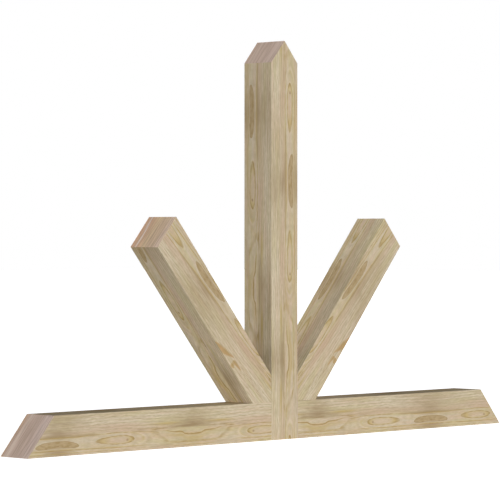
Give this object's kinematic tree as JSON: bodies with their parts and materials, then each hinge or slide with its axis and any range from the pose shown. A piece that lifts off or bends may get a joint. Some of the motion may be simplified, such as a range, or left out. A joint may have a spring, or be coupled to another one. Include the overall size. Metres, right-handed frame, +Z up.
{
  "type": "timber gable bracket",
  "caption": "Timber gable bracket: king post on a bottom chord with diagonal struts, square sawn timbers, outer ends cut to the roof's rake; trims a gable peak.",
  "frame": {"origin": "middle of the king post's foot: mid-span and mid-depth, on the level that the chords stand on", "axes": "+X along the bottom chords, to the right as seen from the front; +Y from the front to the wall side; +Z up to the ridge"},
  "size_m": [1.8288, 0.1016, 1.0668],
  "materials": {
    "sawn_timber": "bare rough-sawn softwood, pale tan, flat-sawn figure, pinkish sawn ends"
  },
  "bodies": {
    "root": {"king_post": "sawn_timber", "left_chord": "sawn_timber", "right_chord": "sawn_timber", "left_strut": "sawn_timber", "right_strut": "sawn_timber"}
  },
  "joints": []
}
